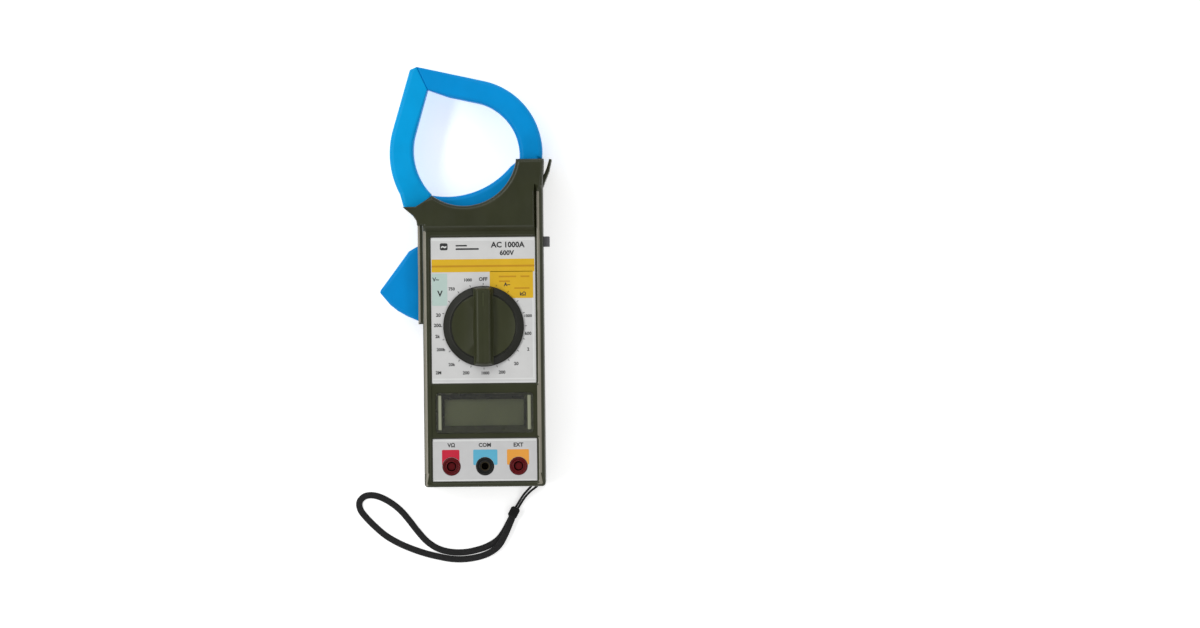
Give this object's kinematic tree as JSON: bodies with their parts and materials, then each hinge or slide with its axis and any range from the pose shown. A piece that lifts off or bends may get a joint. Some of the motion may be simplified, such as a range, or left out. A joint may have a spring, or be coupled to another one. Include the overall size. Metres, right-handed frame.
{
  "type": "clamp meter",
  "caption": "Hand-held clamp meter lying on its back, with a trigger-opened hooked jaw, rotary range switch, display window, input sockets and a wrist strap.",
  "frame": {"origin": "on the flat back of the case, where the rotary switch's axis meets it", "axes": "+Z out of the front panel, +Y along the meter towards the tips of the jaws, +X to the right seen from the front"},
  "size_m": [0.1094, 0.2718, 0.037],
  "materials": {
    "case_olive": "fine moulded texture",
    "steel": "zinc plated",
    "label_print": "printed film",
    "socket_print": "printed film",
    "lens": "clear acrylic",
    "lcd": "display glass",
    "black_plastic": "satin",
    "pink_rubber": "soft",
    "board": "solder mask",
    "epoxy": "gloss",
    "resistor_body": "lacquer",
    "capacitor_sleeve": "heat shrink",
    "trimmer_blue": "satin",
    "brass": "nickel brass",
    "red_plastic": "gloss",
    "grey_plastic": "satin",
    "battery_jacket": "printed steel can",
    "wire_red": "pvc",
    "jaw_blue": "semi-gloss",
    "core_steel": "laminated",
    "white_plastic": "satin",
    "copper": "enamelled wire",
    "spring_steel": "polished",
    "knob_olive": "satin",
    "strap_weave": "woven nylon"
  },
  "bodies": {
    "meter": {"rear_case": "case_olive", "front_case": "case_olive", "case_screws": "steel", "range_label": "label_print", "socket_label": "socket_print", "lcd_window": "lens", "lcd_glass": "lcd", "lcd_holder": "black_plastic", "zebra_strips": "pink_rubber", "main_board": "board", "board_screws": "steel", "meter_chip": "epoxy", "resistors": "resistor_body", "capacitors": "capacitor_sleeve", "trimmer": "trimmer_blue", "buzzer": "brass", "input_jacks": "brass", "left_sleeve": "red_plastic", "middle_sleeve": "black_plastic", "right_sleeve": "red_plastic", "hold_switch": "steel", "battery": "battery_jacket", "battery_snap": "black_plastic", "battery_wires": "wire_red", "fixed_jaw_front": "jaw_blue", "fixed_jaw_rear": "jaw_blue", "fixed_jaw_core": "core_steel", "fixed_jaw_screws": "steel", "coil_bobbin": "white_plastic", "coil_winding": "copper", "coil_leads": "wire_red", "pivot_pin": "steel", "jaw_spring": "spring_steel", "strap_pin": "steel", "strap_cord": "strap_weave", "strap_ferrule": "black_plastic", "strap_webbing": "strap_weave"},
    "jaw": {"moving_jaw_front": "jaw_blue", "moving_jaw_rear": "jaw_blue", "moving_jaw_core": "core_steel", "moving_jaw_screws": "steel", "pivot_bush": "brass"},
    "knob": {"range_knob": "knob_olive", "switch_rotor": "white_plastic", "contact_brushes": "brass", "detent_balls": "steel", "detent_springs": "spring_steel"},
    "hold_key": {"hold_button": "grey_plastic", "hold_plunger": "black_plastic"},
    "battery_door": {"battery_door": "case_olive", "battery_door_screw": "steel"}
  },
  "joints": [
    {"name": "jaw_hinge", "type": "hinge", "parent": "meter", "child": "jaw", "pos_m": [-0.0285, 0.057, 0.014], "axis": [0, 0, 1], "range_deg": [0, 27], "stiffness_Nm_per_rad": 1.2, "springref_deg": -20.05, "deforming": ["jaw_spring"]},
    {"name": "range_turn", "type": "hinge", "parent": "meter", "child": "knob", "pos_m": [0, 0, 0.03], "axis": [0, 0, 1], "continuous": true},
    {"name": "hold_press", "type": "slide", "parent": "meter", "child": "hold_key", "axis": [-1, 0, 0], "range_m": [0, 0.0012], "stiffness_N_per_m": 400, "springref_m": -0.002},
    {"name": "battery_door_slide", "type": "slide", "parent": "meter", "child": "battery_door", "axis": [0, 0, -1], "range_m": [0, 0.012]}
  ]
}
